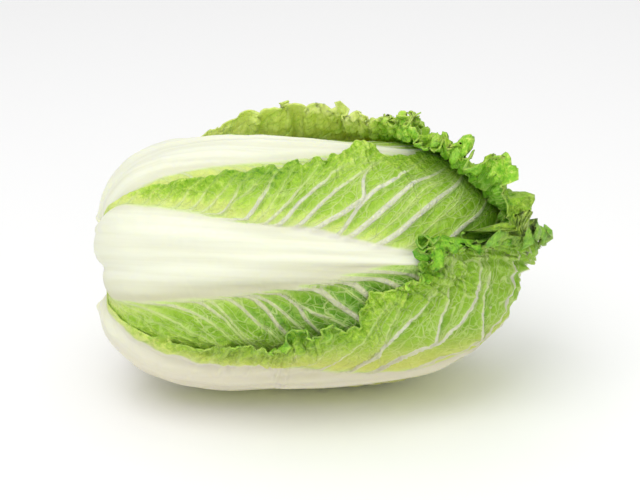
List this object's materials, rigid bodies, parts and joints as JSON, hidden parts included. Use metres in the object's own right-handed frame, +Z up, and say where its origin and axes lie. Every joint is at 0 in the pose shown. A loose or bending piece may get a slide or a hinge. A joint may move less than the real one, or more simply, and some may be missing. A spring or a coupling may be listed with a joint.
{
  "type": "napa cabbage",
  "caption": "Oblong head of napa cabbage lying on its side, with thick white leaf ribs, crinkled green blades and frilled leaf edges at its tip.",
  "frame": {"origin": "under the middle of the head, on the surface that it lies on", "axes": "+X along the head from the cut stem to the leaf tips, -Y its front, +Z up"},
  "size_m": [0.2744, 0.1682, 0.1801],
  "materials": {
    "stem": "moist cut plant tissue",
    "heart": "satin, pale yellow inner leaves",
    "leaf": "satin leaf, white at the rib"
  },
  "bodies": {
    "root": {"stem": "stem", "heart": "heart", "leaf_lower_front": "leaf", "leaf_back": "leaf", "leaf_front": "leaf", "leaf_lower_back": "leaf", "leaf_top": "leaf", "inner_leaf_top_front": "leaf", "inner_leaf_under": "leaf", "inner_leaf_top_back": "leaf", "inner_leaf_front": "leaf", "inner_leaf_low_back": "leaf"}
  },
  "joints": []
}
